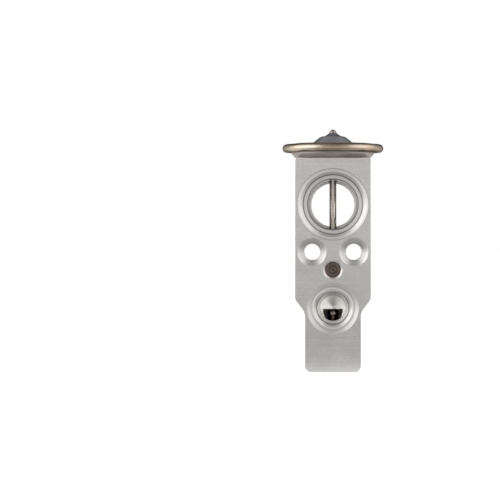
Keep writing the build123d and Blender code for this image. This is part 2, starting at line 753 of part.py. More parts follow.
def damping_ring():
    """The slotted spring ring round the carrier's flange, whose fingers rub on the chamber's wall."""
    inner = CARRIER_FLANGE_RADIUS
    bulge = CHAMBER_RADIUS - RING_WALL_CLEARANCE
    band_foot_z = spring_top_z
    band_top_z = band_foot_z + RING_BAND_HEIGHT
    foot_z = band_top_z - RING_HEIGHT
    finger_middle_z = (band_foot_z + foot_z) / 2
    outer_arc = ThreePointArc(
        (inner + RING_THICKNESS, band_foot_z),
        (bulge, finger_middle_z),
        (inner + RING_THICKNESS, foot_z),
    )
    inner_arc = ThreePointArc(
        (inner, band_foot_z),
        (bulge - RING_THICKNESS, finger_middle_z),
        (inner, foot_z),
    )
    band = Polyline(
        outer_arc @ 0,
        (inner + RING_THICKNESS, band_top_z),
        (inner, band_top_z),
        inner_arc @ 0,
    )
    ring = turned(make_face([outer_arc, band, inner_arc, Line(outer_arc @ 1, inner_arc @ 1)]))
    finger_length = band_foot_z - foot_z
    slot = Pos(bulge, 0, foot_z) * Box(2 * bulge, RING_SLOT_WIDTH, 2 * finger_length)
    for i in range(RING_FINGERS):
        ring -= Rot(0, 0, i * 360 / RING_FINGERS) * slot
    return ring


def superheat_spring():
    """The coil spring between the adjusting screw and the carrier, with ends ground flat."""
    height = spring_top_z - spring_foot_z
    pitch = height / SPRING_TURNS
    path = Pos(0, 0, spring_foot_z) * Helix(pitch, height, SPRING_MEAN_RADIUS)
    start = Plane(origin=path @ 0, z_dir=path % 0)
    coil = sweep(start * Circle(SPRING_WIRE_RADIUS), path, is_frenet=True)
    slab_radius = SPRING_MEAN_RADIUS + 2 * SPRING_WIRE_RADIUS
    slab = Pos(0, 0, spring_foot_z + height / 2) * Cylinder(slab_radius, height)
    return coil & slab


def adjusting_screw():
    """The screw that loads the spring: thread, sealed pilot, spring boss and a hexagon socket below."""
    thread_radius = ADJUSTER_THREAD_RADIUS - THREAD_CLEARANCE
    pilot_radius = CHAMBER_RADIUS - SCREW_PILOT_CLEARANCE
    thread_top_z = SCREW_BOTTOM_Z + SCREW_THREAD_LENGTH
    groove_foot_z = screw_seal_top_z - SCREW_SEAL_GROOVE_HEIGHT
    screw = turned(
        outline(
            [
                (0, SCREW_BOTTOM_Z),
                (thread_radius - SCREW_CHAMFER, SCREW_BOTTOM_Z),
                (thread_radius, SCREW_BOTTOM_Z + SCREW_CHAMFER),
                (thread_radius, thread_top_z - SCREW_CHAMFER),
                (thread_radius - SCREW_CHAMFER, thread_top_z),
                (pilot_radius, thread_top_z),
                (pilot_radius, groove_foot_z),
                (SCREW_SEAL_FLOOR_RADIUS, groove_foot_z),
                (SCREW_SEAL_FLOOR_RADIUS, screw_seal_top_z),
                (pilot_radius, screw_seal_top_z),
                (pilot_radius, spring_foot_z),
                (SCREW_BOSS_RADIUS, spring_foot_z),
                (SCREW_BOSS_RADIUS, spring_foot_z + SCREW_BOSS_HEIGHT),
                (0, spring_foot_z + SCREW_BOSS_HEIGHT),
            ]
        )
    )
    hexagon = RegularPolygon(HEX_ACROSS_FLATS / 2, 6, major_radius=False)
    return screw - Pos(0, 0, SCREW_BOTTOM_Z) * extrude(hexagon, HEX_DEPTH)


def adjuster_seal():
    """The ring in the adjusting screw's groove."""
    inner_radius = SCREW_SEAL_FLOOR_RADIUS
    outer_radius = CHAMBER_RADIUS - SEAL_SIDE_CLEARANCE
    return ring_seal(inner_radius, outer_radius, screw_seal_z)


PIECES = {
    "valve_body": valve_body,
    "head_base": head_base,
    "head_cover": head_cover,
    "rim_weld": rim_weld,
    "diaphragm": diaphragm,
    "diaphragm_pad": diaphragm_pad,
    "charge_plug": charge_plug,
    "plug_solder": plug_solder,
    "head_seal": head_seal,
    "push_rod": push_rod,
    "valve_pin": valve_pin,
    "rod_guide": rod_guide,
    "rod_seal": rod_seal,
    "gland_washer": gland_washer,
    "valve_ball": valve_ball,
    "ball_carrier": ball_carrier,
    "damping_ring": damping_ring,
    "superheat_spring": superheat_spring,
    "adjusting_screw": adjusting_screw,
    "adjuster_seal": adjuster_seal,
}

os.makedirs("parts", exist_ok=True)
for name, make in PIECES.items():
    export_step(make(), f"parts/{name}.step")
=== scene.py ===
"""The looks of a block-type expansion valve: finishes, threads, weld bead, spring, light and camera.

The solids come packed as a fixed frame. This script dresses them. It replaces those that need a form finer
than their solid has, and puts plain copies in place of the diaphragm and the spring. Lengths are in metres,
with +Z up and -Y towards the camera.
"""

from __future__ import annotations

import json
import logging
import math
from dataclasses import dataclass
from enum import Enum

import bmesh
import bpy
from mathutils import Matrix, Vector

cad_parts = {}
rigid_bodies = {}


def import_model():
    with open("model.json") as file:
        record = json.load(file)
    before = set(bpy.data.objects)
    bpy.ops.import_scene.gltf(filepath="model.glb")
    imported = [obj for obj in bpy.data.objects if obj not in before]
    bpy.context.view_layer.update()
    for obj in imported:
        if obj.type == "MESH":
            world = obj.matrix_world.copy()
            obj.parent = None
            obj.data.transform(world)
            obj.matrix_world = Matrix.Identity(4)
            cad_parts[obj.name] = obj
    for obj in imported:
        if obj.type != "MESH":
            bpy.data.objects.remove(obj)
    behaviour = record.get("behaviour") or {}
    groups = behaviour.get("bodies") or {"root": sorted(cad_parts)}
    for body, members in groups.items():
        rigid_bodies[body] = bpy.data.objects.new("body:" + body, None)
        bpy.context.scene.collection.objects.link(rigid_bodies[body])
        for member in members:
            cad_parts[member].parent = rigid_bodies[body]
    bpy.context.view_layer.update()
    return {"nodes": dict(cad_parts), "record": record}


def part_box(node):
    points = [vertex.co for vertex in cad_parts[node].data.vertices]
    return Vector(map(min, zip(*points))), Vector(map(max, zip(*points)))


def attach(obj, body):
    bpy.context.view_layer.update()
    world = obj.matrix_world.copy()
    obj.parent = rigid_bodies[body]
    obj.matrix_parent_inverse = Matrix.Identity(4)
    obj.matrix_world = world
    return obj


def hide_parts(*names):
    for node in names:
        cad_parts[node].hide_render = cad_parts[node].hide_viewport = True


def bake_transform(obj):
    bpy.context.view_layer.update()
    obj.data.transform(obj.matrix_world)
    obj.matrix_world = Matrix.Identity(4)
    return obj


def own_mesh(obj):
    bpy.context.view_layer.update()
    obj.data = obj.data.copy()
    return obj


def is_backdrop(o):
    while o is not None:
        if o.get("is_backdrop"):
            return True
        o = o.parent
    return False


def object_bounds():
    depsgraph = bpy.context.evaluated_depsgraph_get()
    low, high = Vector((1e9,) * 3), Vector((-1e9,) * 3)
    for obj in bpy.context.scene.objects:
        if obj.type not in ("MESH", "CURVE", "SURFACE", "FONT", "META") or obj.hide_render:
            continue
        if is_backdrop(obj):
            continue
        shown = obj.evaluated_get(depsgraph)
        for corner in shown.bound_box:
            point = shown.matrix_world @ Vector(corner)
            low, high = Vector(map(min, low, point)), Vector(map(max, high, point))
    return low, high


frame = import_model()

LOG = logging.getLogger("expansion_valve")
MM = 0.001
MICRON = 0.000001

Colour = tuple[float, float, float]
Point = tuple[float, float, float]
Ring = list[Point]
Socket = bpy.types.NodeSocket

# How often each noise repeats, to a metre.
PATCH_SCALE = 140.0
GRAIN_SCALE = 5200.0
FLECK_SCALE = (1500.0, 2400.0, 2400.0)
BLOOM_SCALE = 900.0
WELD_PATCH_SCALE = (90.0, 90.0, 260.0)
WELD_STREAK_SCALE = (700.0, 700.0, 5000.0)
WELD_GRAIN_SCALE = 2600.0

# The part of a noise's range over which each effect goes from nothing to its full strength.
TONE_RANGE = (0.32, 0.68)
DARK_FLECK_RANGE = (0.42, 0.66)
LIGHT_FLECK_RANGE = (0.42, 0.26)
TINT_RANGE = (0.4, 0.7)

# How many times longer than its pitch a straight mark is, and how far a round mark strays from its circle.
MARK_LENGTH = 120
MARK_WANDER = 0.6


def srgb(red: int, green: int, blue: int) -> Colour:
    """A colour as a screen shows it, turned into the linear values that a shader takes.

    Args:
        red: Red, from 0 to 255.
        green: Green, from 0 to 255.
        blue: Blue, from 0 to 255.

    Returns:
        The three linear values, from 0 to 1.
    """

    def linear(level: int) -> float:
        """One channel in linear light."""
        share = level / 255
        return share / 12.92 if share <= 0.04045 else ((share + 0.055) / 1.055) ** 2.4

    return (linear(red), linear(green), linear(blue))


def scaled(colour: Colour, factor: float, lift: float = 0.0) -> Colour:
    """A colour made lighter or darker, at most white."""
    return tuple(min(1.0, channel * factor + lift) for channel in colour)


def polar(radius: float, turn: float, height: float) -> Point:
    """The point at a radius and a turn, in radians, about the upright axis."""
    return (radius * math.cos(turn), radius * math.sin(turn), height)


def add_object(name: str, data: bpy.types.ID) -> bpy.types.Object:
    """Makes an object and links it to the scene.

    Args:
        name: The object's name.
        data: Its mesh, lamp or camera.

    Returns:
        The object.
    """
    item = bpy.data.objects.new(name, data)
    bpy.context.scene.collection.objects.link(item)
    return item


class Marks(Enum):
    """The way that tool marks run over a surface."""

    ACROSS = "straight, from left to right"
    THROUGH = "straight, from front to back"
    ROUND_Y = "rings about an axis that runs front to back"
    ROUND_Z = "rings about an upright axis"
    NONE = "an even grain"


class Tree:
    """A node tree, with a short call for each kind of node."""

    def __init__(self, tree: bpy.types.NodeTree) -> None:
        """Takes up the tree of a material or of the world."""
        self.nodes = tree.nodes
        self.links = tree.links

    def feed(self, socket: Socket, value: object) -> None:
        """Links a socket to another, or sets it to a plain value.

        Args:
            socket: The input to fill.
            value: An output socket, a number, a vector or a colour.
        """
        if isinstance(value, Socket):
            self.links.new(value, socket)
        elif isinstance(value, tuple) and socket.type == "RGBA":
            socket.default_value = (*value, 1.0)
        else:
            socket.default_value = value

    def add(self, kind: str, inputs: dict[int | str, object], **settings: str) -> bpy.types.Node:
        """Adds a node.

        Args:
            kind: The node's type, without the word that all of them begin with.
            inputs: What each input takes, by its name or number.
            settings: The node's own settings.

        Returns:
            The node.
        """
        node = self.nodes.new(f"ShaderNode{kind}")
        for name, value in settings.items():
            setattr(node, name, value)
        for key, value in inputs.items():
            self.feed(node.inputs[key], value)
        return node

    def math(self, operation: str, first: object, second: object = 0.0) -> Socket:
        """A sum on one or two numbers."""
        return self.add("Math", {0: first, 1: second}, operation=operation).outputs[0]

    def vector(self, operation: str, first: object, second: object = (0.0, 0.0, 0.0)) -> Socket:
        """A sum on one or two vectors, which gives a number for a length and a vector for the rest."""
        node = self.add("VectorMath", {0: first, 1: second}, operation=operation)
        return node.outputs["Value" if operation == "LENGTH" else "Vector"]

    def noise(self, place: object, detail: float = 2.0, scale: float = 1.0) -> Socket:
        """Cloudy noise, near 0.5 on average, with so many finer layers and clouds to a unit of place."""
        outputs = self.add("TexNoise", {"Vector": place, "Scale": scale, "Detail": detail}).outputs
        return outputs["Factor" if "Factor" in outputs else "Fac"]

    def remap(
        self, value: object, low: float, high: float, to_low: float = 0.0, to_high: float = 1.0
    ) -> Socket:
        """Moves a value from the range low to high to the range to_low to to_high, and keeps it there."""
        ends = {"From Min": low, "From Max": high, "To Min": to_low, "To Max": to_high}
        return self.add("MapRange", {"Value": value, **ends}).outputs["Result"]

    def blend(self, share: object, first: object, second: object) -> Socket:
        """A colour between two others: the first at a share of 0 and the second at 1."""
        return self.add("Mix", {"Factor": share, 6: first, 7: second}, data_type="RGBA").outputs[2]

    def split(self, place: object) -> list[Socket]:
        """The three parts of a vector."""
        return list(self.add("SeparateXYZ", {0: place}).outputs)

    def join(self, x: object = 0.0, y: object = 0.0, z: object = 0.0) -> Socket:
        """A vector from three parts."""
        return self.add("CombineXYZ", {0: x, 1: y, 2: z}).outputs[0]

    def seen_or_mirrored(self) -> Socket:
        """Tells light paths that show a thing from those that only light the object.

        Returns:
            A socket that is 1 for a camera, mirror or glass ray, and 0 for the rest.
        """
        rays = self.add("LightPath", {}).outputs
        shown = self.math("MAXIMUM", rays["Is Camera Ray"], rays["Is Glossy Ray"])
        return self.math("MAXIMUM", shown, rays["Is Transmission Ray"])


class Canvas(Tree):
    """The node tree of one finish, round a principled shader."""

    def __init__(self, name: str) -> None:
        """Starts a material.

        Args:
            name: The material's name.
        """
        self.material = bpy.data.materials.new(name)
        self.material.use_nodes = True
        super().__init__(self.material.node_tree)
        self.shader = self.nodes["Principled BSDF"]
        self.place = self.add("TexCoord", {}).outputs["Object"]

    def set(self, **values: object) -> None:
        """Fills the shader's own sockets, named with an underscore for each space."""
        for name, value in values.items():
            self.feed(self.shader.inputs[name.replace("_", " ")], value)

    def bump(self, height: object, depth: float) -> None:
        """Raises the surface by a height from 0 to 1, over what bump it has already.

        Args:
            height: The height's socket.
            depth: The real height of 1, in metres.
        """
        node = self.add("Bump", {"Distance": depth, "Height": height})
        normal = self.shader.inputs["Normal"]
        if normal.links:
            self.feed(node.inputs["Normal"], normal.links[0].from_socket)
        self.feed(normal, node.outputs[0])


@dataclass(frozen=True)
class Corner:
    """An edge or inner corner of a turned shape, seen in its section.

    Args:
        radius: How far it lies from the axis.
        along: Its place along the axis.
        width: How far its painted mark reaches.
        painted_highlight: How strong the painted highlight along it is, from 0 to 1.
        painted_shade: How dark the painted shade on it is, from 0 to 1.
    """

    radius: float
    along: float
    width: float
    painted_highlight: float = 0.0
    painted_shade: float = 0.0


@dataclass(frozen=True)
class Metal:
    """Bare metal with the marks of the tool that cut it.

    Args:
        name: The material's name.
        light: The lighter colour of the marks.
        dark: The darker colour of the marks.
        roughness: How dull it is, from 0 to 1.
        marks: The way that the marks run.
        centre: A point on the axis of round marks.
        pitch: The usual distance between marks.
        depth: The depth of the marks.
        stretch: How strongly the marks pull highlights out across them.
        tint: A second colour for broad patches.
        tint_share: How much of the second colour shows, from 0 to 1.
        rim_level: How light a mirror image is at a glancing angle, from 0 to 1.
        contrast: How far the roughness follows the marks.
        flecks: How strongly small flecks stand out over the marks, from 0 to 1.
        thread_pitch: The pitch of a thread cut in the surface, or 0 for none.
        corners: The edges and inner corners that carry painted highlight and painted shade.
    """

    name: str
    light: Colour
    dark: Colour
    roughness: float = 0.35
    marks: Marks = Marks.NONE
    centre: Point = (0.0, 0.0, 0.0)
    pitch: float = 0.25 * MM
    depth: float = 3 * MICRON
    stretch: float = 0.0
    tint: Colour | None = None
    tint_share: float = 0.0
    rim_level: float = 1.0
    contrast: float = 0.14
    flecks: float = 0.0
    thread_pitch: float = 0.0
    corners: tuple[Corner, ...] = ()

    def offset(self, canvas: Canvas) -> Socket:
        """The vector from the centre of round marks to a point."""
        return canvas.vector("SUBTRACT", canvas.place, self.centre)

    def across_axis(self, canvas: Canvas) -> Socket:
        """The part of that vector that lies across the axis of the marks."""
        x, y, z = canvas.split(self.offset(canvas))
        return canvas.join(x=x, z=z) if self.marks is Marks.ROUND_Y else canvas.join(x=x, y=y)

    def along_axis(self, canvas: Canvas, place: Socket) -> Socket:
        """The part of a vector that lies along the axis of the marks."""
        return canvas.split(place)[1 if self.marks is Marks.ROUND_Y else 2]

    def paint_corner_light(self, canvas: Canvas, colour: object) -> Socket:
        """Paints a highlight along each edge and shade into each inner corner.

        Args:
            canvas: The node tree in the making.
            colour: The colour so far.

        Returns:
            The colour with the traces.
        """
        radius = canvas.vector("LENGTH", self.across_axis(canvas))
        place = canvas.join(radius, self.along_axis(canvas, canvas.place))
        # Colours of the painted highlight along edges and of the painted shade in corners.
        highlight_colour = scaled(self.light, 1.5, lift=0.1)
        shade_colour = scaled(self.dark, 0.16)
        for corner in self.corners:
            middle = (corner.radius, corner.along, 0.0)
            away = canvas.vector("LENGTH", canvas.vector("SUBTRACT", place, middle))
            if corner.painted_highlight:
                share = canvas.remap(away, 0.0, corner.width, corner.painted_highlight, 0.0)
                colour = canvas.blend(share, colour, highlight_colour)
            if corner.painted_shade:
                share = canvas.remap(away, corner.width * 0.5, corner.width, corner.painted_shade, 0.0)
                colour = canvas.blend(share, colour, shade_colour)
        return colour

    def thread(self, canvas: Canvas) -> Socket:
        """The height of a thread about the axis, from 0 in its root to 1 on its crest.

        Args:
            canvas: The node tree in the making.

        Returns:
            The height's socket.
        """
        x, y, z = canvas.split(self.offset(canvas))
        turn = canvas.math("DIVIDE", canvas.math("ARCTAN2", z, x), math.tau)
        lead = canvas.math("ADD", canvas.math("DIVIDE", y, self.thread_pitch), turn)
        return canvas.math("PINGPONG", canvas.math("MULTIPLY", lead, 2.0), 1.0)

    def mark_place(self, canvas: Canvas) -> Socket:
        """The point where the marks' noise is read, long along a mark and short across it.

        Args:
            canvas: The node tree in the making.

        Returns:
            The point's socket.
        """
        fine = 1 / self.pitch
        slow = 1 / (MARK_LENGTH * self.pitch)
        scales = {
            Marks.ACROSS: (slow, fine, fine),
            Marks.THROUGH: (fine, slow, fine),
            Marks.NONE: (fine, fine, fine),
        }
        if self.marks in scales:
            return canvas.vector("MULTIPLY", canvas.place, scales[self.marks])
        flat = self.across_axis(canvas)
        radius = canvas.math("MULTIPLY", canvas.vector("LENGTH", flat), fine)
        height = canvas.math("MULTIPLY", self.along_axis(canvas, self.offset(canvas)), fine)
        turn = canvas.vector("MULTIPLY", canvas.vector("NORMALIZE", flat), (MARK_WANDER,) * 3)
        x, y, z = canvas.split(turn)
        return canvas.join(radius, height, canvas.math("ADD", x, z if self.marks is Marks.ROUND_Y else y))

    def groove_direction(self, canvas: Canvas) -> Socket | None:
        """The direction in which the marks run, for the stretched highlights.

        Args:
            canvas: The node tree in the making.

        Returns:
            The direction's socket, or None on an even grain.
        """
        if self.marks is Marks.NONE:
            return None
        if self.marks is Marks.ACROSS:
            return canvas.join(x=1.0)
        if self.marks is Marks.THROUGH:
            return canvas.join(y=1.0)
        axis = (0.0, 1.0, 0.0) if self.marks is Marks.ROUND_Y else (0.0, 0.0, 1.0)
        return canvas.vector("NORMALIZE", canvas.vector("CROSS_PRODUCT", axis, self.offset(canvas)))

    def build(self) -> bpy.types.Material:
        """Makes the material.

        Returns:
            The finished material.
        """
        canvas = Canvas(self.name)
        marks = canvas.noise(self.mark_place(canvas), detail=3.0)
        clouds = canvas.noise(canvas.place, detail=3.0, scale=PATCH_SCALE)
        grain = canvas.noise(canvas.place, detail=2.0, scale=GRAIN_SCALE)
        tone = canvas.math("ADD", canvas.math("MULTIPLY", marks, 0.6), canvas.math("MULTIPLY", clouds, 0.4))
        colour = canvas.blend(canvas.remap(tone, *TONE_RANGE), self.dark, self.light)
        if self.flecks:
            flecks = canvas.noise(canvas.vector("MULTIPLY", canvas.place, FLECK_SCALE), detail=4.0)
            pale = scaled(self.light, 1.25)
            for reach, fleck in ((DARK_FLECK_RANGE, self.dark), (LIGHT_FLECK_RANGE, pale)):
                colour = canvas.blend(canvas.remap(flecks, *reach, 0.0, self.flecks), colour, fleck)
        if self.tint is not None:
            patch = canvas.remap(clouds, *TINT_RANGE, 0.0, self.tint_share)
            colour = canvas.blend(patch, colour, self.tint)
        # Painted highlight along the edges and painted shade in the inner corners.
        if self.corners:
            colour = self.paint_corner_light(canvas, colour)
        if self.thread_pitch:
            thread = self.thread(canvas)
            # Painted shade in the thread's roots.
            colour = canvas.blend(canvas.remap(thread, 0.0, 0.5, 0.8, 0.0), colour, scaled(self.dark, 0.3))
            canvas.bump(thread, self.thread_pitch * 0.5)
        streaks = canvas.math("MULTIPLY", marks, self.contrast)
        dull = canvas.math("ADD", streaks, canvas.math("MULTIPLY", clouds, 0.1))
        canvas.set(
            Base_Color=colour,
            Metallic=1.0,
            Roughness=canvas.math("ADD", dull, self.roughness - 0.05 - self.contrast / 2),
            Anisotropic=self.stretch,
            Specular_Tint=(self.rim_level,) * 3,
        )
        groove = self.groove_direction(canvas)
        if groove is not None and self.stretch:
            canvas.set(Tangent=groove, Anisotropic_Rotation=0.25)
        canvas.bump(marks, self.depth)
        canvas.bump(grain, self.depth * 0.35)
        return canvas.material


@dataclass(frozen=True)
class HeatTint:
    """Welded steel with bands of heat colour that run round the rim.

    Args:
        name: The material's name.
        straw: The pale colour of the least heated metal.
        bronze: The colour of most of the bead.
        brown: The dark colour along the bead's edges.
        seam: The point where the weld began and ended, which is the most heated.
        half_height: Half the bead's height.
        seam_reach: How far from the seam the metal is darker.
        roughness: How dull it is, from 0 to 1.
        rim_level: How light a mirror image is at a glancing angle, from 0 to 1.
        depth: The depth of its ripples and grain.
    """

    name: str
    straw: Colour
    bronze: Colour
    brown: Colour
    seam: Point
    half_height: float
    seam_reach: float = 11 * MM
    roughness: float = 0.33
    rim_level: float = 0.2
    depth: float = 3 * MICRON

    def build(self) -> bpy.types.Material:
        """Makes the material.

        Returns:
            The finished material.
        """
        canvas = Canvas(self.name)
        height = canvas.split(canvas.place)[2]
        level = canvas.math("DIVIDE", canvas.math("SUBTRACT", height, self.seam[2]), self.half_height)
        patches = canvas.noise(canvas.vector("MULTIPLY", canvas.place, WELD_PATCH_SCALE), detail=4.0)
        fine = canvas.noise(canvas.vector("MULTIPLY", canvas.place, WELD_STREAK_SCALE), detail=3.0)
        drift = canvas.remap(patches, 0.3, 0.7, -0.1, 0.4)
        band = canvas.math("ABSOLUTE", canvas.math("ADD", level, drift))
        edge = canvas.remap(band, 0.3, 0.95)
        away = canvas.vector("LENGTH", canvas.vector("SUBTRACT", canvas.place, self.seam))
        heated = canvas.remap(away, self.seam_reach * 0.4, self.seam_reach, 0.75, 0.0)
        straw_share = canvas.math("SUBTRACT", canvas.remap(patches, 0.3, 0.6, 0.3, 1.0), heated)
        centre = canvas.blend(canvas.remap(straw_share, 0.0, 1.0), self.bronze, self.straw)
        colour = canvas.blend(edge, centre, self.brown)
        colour = canvas.blend(canvas.remap(fine, 0.35, 0.75, 0.0, 0.35), colour, self.straw)
        canvas.set(
            Base_Color=colour,
            Metallic=1.0,
            Roughness=canvas.remap(fine, 0.3, 0.7, self.roughness - 0.06, self.roughness + 0.08),
            Specular_Tint=(self.rim_level,) * 3,
        )
        canvas.bump(fine, self.depth)
        canvas.bump(canvas.noise(canvas.place, detail=2.0, scale=WELD_GRAIN_SCALE), self.depth)
        return canvas.material


@dataclass(frozen=True)
class Rubber:
    """Moulded seal rubber with a faint bloom.

    Args:
        name: The material's name.
        colour: The rubber's colour.
        depth: The depth of the bloom.
    """

    name: str
    colour: Colour
    depth: float = 4 * MICRON

    def build(self) -> bpy.types.Material:
        """Makes the material.

        Returns:
            The finished material.
        """
        canvas = Canvas(self.name)
        bloom = canvas.noise(canvas.place, detail=3.0, scale=BLOOM_SCALE)
        share = canvas.remap(bloom, 0.45, 0.75, 0.0, 0.5)
        canvas.set(
            Base_Color=canvas.blend(share, self.colour, scaled(self.colour, 2.2)),
            Roughness=canvas.remap(bloom, 0.3, 0.7, 0.38, 0.55),
        )
        canvas.bump(bloom, self.depth)
        return canvas.material


def dress(finish: Metal | Rubber, *nodes: str) -> None:
    """Gives whole nodes of the frame a finish.

    Args:
        finish: The finish.
        nodes: The names of the nodes.
    """
    material = finish.build()
    for name in nodes:
        mesh = frame["nodes"][name].data
        mesh.materials.clear()
        mesh.materials.append(material)
        LOG.info("%s: %s", name, finish.name)


def flexible_copy(node: str, name: str) -> bpy.types.Object:
    """Copies a node of the frame, which is hidden, to a piece of its own.

    Args:
        node: The name of the node, which has its finish.
        name: The new piece's name.

    Returns:
        The new piece.
    """
    piece = add_object(name, frame["nodes"][node].data.copy())
    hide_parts(node)
    return piece


class MeshKit:
    """Builds meshes from rings of points."""

    @staticmethod
    def loft(name: str, rings: list[Ring], smooth_angle: float, capped: bool = False) -> bpy.types.Object:
        """Joins closed rings of points into a skin.

        Args:
            name: The object's name.
            rings: The rings, each with as many points as the others.
            smooth_angle: Edges sharper than this many degrees stay sharp.
            capped: Whether the first and last ring are filled.

        Returns:
            The new object, linked to the scene.
        """
        mesh = bmesh.new()
        rows = [[mesh.verts.new(point) for point in ring] for ring in rings]
        count = len(rings[0])
        for row, following in zip(rows, rows[1:]):
            for i in range(count):
                j = (i + 1) % count
                mesh.faces.new((row[i], row[j], following[j], following[i]))
        if capped:
            mesh.faces.new(list(reversed(rows[0])))
            mesh.faces.new(rows[-1])
        bmesh.ops.remove_doubles(mesh, verts=mesh.verts, dist=0.2 * MICRON)
        bmesh.ops.recalc_face_normals(mesh, faces=mesh.faces)
        data = bpy.data.meshes.new(name)
        mesh.to_mesh(data)
        mesh.free()
        data.shade_smooth()
        data.set_sharp_from_angle(angle=math.radians(smooth_angle))
        return add_object(name, data)

    @staticmethod
    def circle(radius: float, height: float, count: int) -> Ring:
        """A level ring of points about the upright axis."""
        return [polar(radius, math.tau * i / count, height) for i in range(count)]


@dataclass(frozen=True)
class ThreadRidge:
    """The ridge of a metric thread, wound about the upright axis through the origin.

    Args:
        base_radius: The radius of the wall that carries the ridge.
        crest_radius: The radius of the ridge's crest, less than the base's for a hole.
        pitch: The thread's pitch.
        low: The height where the ridge begins.
        high: The height where it ends.
        per_turn: How many sections each turn has.
        foot: Half the ridge's width at the wall, in pitches.
        tip: Half its width at the crest, in pitches.
        run_out: How many turns it takes to rise at each end.
        least: The share of its full depth that it starts with.
    """

    base_radius: float
    crest_radius: float
    pitch: float
    low: float
    high: float
    per_turn: int = 72
    foot: float = 0.44
    tip: float = 0.07
    run_out: float = 0.5
    least: float = 0.02

    def section(self, turn: float, height: float, share: float) -> Ring:
        """One cross-section of the ridge.

        Args:
            turn: The angle about the axis, in radians.
            height: The height of the section's middle.
            share: How much of the full depth it has, from 0 to 1.

        Returns:
            The section's four points.
        """
        crest = self.base_radius + (self.crest_radius - self.base_radius) * share
        foot = self.pitch * self.foot
        tip = self.pitch * self.tip
        corners = [(self.base_radius, -foot), (crest, -tip), (crest, tip), (self.base_radius, foot)]
        return [polar(radius, turn, height + rise) for radius, rise in corners]

    def build(self, name: str) -> bpy.types.Object:
        """Winds the ridge, fading it in and out at the ends.

        Args:
            name: The object's name.

        Returns:
            The ridge as an object.
        """
        turns = (self.high - self.low) / self.pitch
        sections = []
        for i in range(int(turns * self.per_turn) + 1):
            done = i / self.per_turn
            fade = min(1.0, max(self.least, min(done, turns - done) / self.run_out))
            sections.append(self.section(math.tau * done, self.low + done * self.pitch, fade))
        return MeshKit.loft(name, sections, smooth_angle=25.0, capped=True)


# Width in millimetres, painted highlight and painted shade of the mark along an outer edge and along an inner
# corner.
EDGE_HIGHLIGHT = (0.22, 0.55, 0.0)
CORNER_SHADE = (0.4, 0.0, 0.9)


@dataclass(frozen=True)
class Port:
    """A round hole that runs front to back, with its lengths in millimetres.

    Args:
        name: The hole's name.
        mount: The name of the record's mount that says where it is.
        reach: The radius that its widest cone reaches.
        mouth_depth: How deep its open mouth goes before the bore starts.
        side: -1 for the front, 1 for the back and 0 for a hole that opens at both.
        edges: Radius and depth of each outer edge, which gets a painted highlight.
        corners: Radius and depth of each inner corner, which gets painted shade.
        painted_shade_rings: Radius, depth, width and darkness, from 0 to 1, of each faint ring of painted
            shade.
        sideways: How far it lies from the mount's middle.
    """

    name: str
    mount: str
    reach: float
    mouth_depth: float
    side: int
    edges: tuple[tuple[float, float], ...] = ()
    corners: tuple[tuple[float, float], ...] = ()
    painted_shade_rings: tuple[tuple[float, float, float, float], ...] = ()
    sideways: float = 0.0

    def centre(self) -> Vector:
        """A point on the hole's axis, in metres, from the record."""
        mounts = {m["name"]: m for m in frame["record"]["mounts"]}
        return Vector(mounts[self.mount]["pos_m"]) + Vector((self.sideways * MM, 0, 0))

    def painted_light_marks(self, half_depth: float) -> tuple[Corner, ...]:
        """The hole's edges and corners with their painted highlights and painted shade.

        Args:
            half_depth: Half the block's depth, in metres.

        Returns:
            The corners, along the y axis.
        """
        outward = self.side or -1
        highlighted = [(r, d, *EDGE_HIGHLIGHT) for r, d in self.edges]
        shade_and_stain = [(r, d, *CORNER_SHADE) for r, d in self.corners]
        # Faint rings of painted shade.
        shaded = [(r, d, width, 0.0, dark) for r, d, width, dark in self.painted_shade_rings]
        return tuple(
            Corner(r * MM, outward * (half_depth - d * MM), width * MM, painted_highlight, painted_shade)
            for r, d, width, painted_highlight, painted_shade in (*highlighted, *shade_and_stain, *shaded)
        )


SUCTION_FRONT = Port(
    "suction_front", "suction_outlet", 15.55, 3.5, -1,
    edges=((14.2, 0.3), (9.4, 20.85)),
    corners=((12.9, 3.2), (10.95, 3.45), (10.95, 9.5), (10.6, 20.0)),
    painted_shade_rings=((15.5, 0.0, 0.4, 0.55), (12.9, 1.6, 0.5, 0.25), (12.0, 3.2, 1.3, 0.1)),
)
SUCTION_BACK = Port(
    "suction_back", "suction_inlet", 15.55, 1.9, 1,
    edges=((12.25, 0.5), (10.95, 1.8), (9.4, 10.0)),
    corners=((10.95, 10.0),),
)
INLET = Port(
    "inlet", "liquid_inlet", 11.2, 1.9, -1,
    edges=((8.35, 0.5), (6.8, 9.0)),
    corners=((7.05, 9.0),),
    painted_shade_rings=((9.35, 0.5, 0.4, 0.25), (7.05, 1.8, 0.4, 0.45), (5.5, 10.3, 0.3, 0.4)),
)
OUTLET = Port(
    "outlet", "liquid_outlet", 12.9, 1.9, 1,
    edges=((10.5, 0.5), (9.2, 1.8), (7.9, 9.5)),
    corners=((9.2, 9.5), (5.8, 11.6)),
)
CLAMP = Port(
    "clamp", "pipe_clamp_thread", 4.25, 0.75, -1,
    edges=((4.2, 0.0), (0.95, 12.5)),
    corners=((3.4, 11.0),),
    painted_shade_rings=((1.6, 12.1, 0.5, 0.4), (0.4, 12.8, 0.3, 0.5)),
)
SCREWS = tuple(
    Port(name, "flange_screws", 6.25, 2.75, 0, edges=((6.2, 0.0), (3.5, 2.7)), sideways=sideways)
    for name, sideways in (("screw_left", -9.0), ("screw_right", 9.0))
)
PORTS = (SUCTION_FRONT, SUCTION_BACK, INLET, OUTLET, CLAMP, *SCREWS)


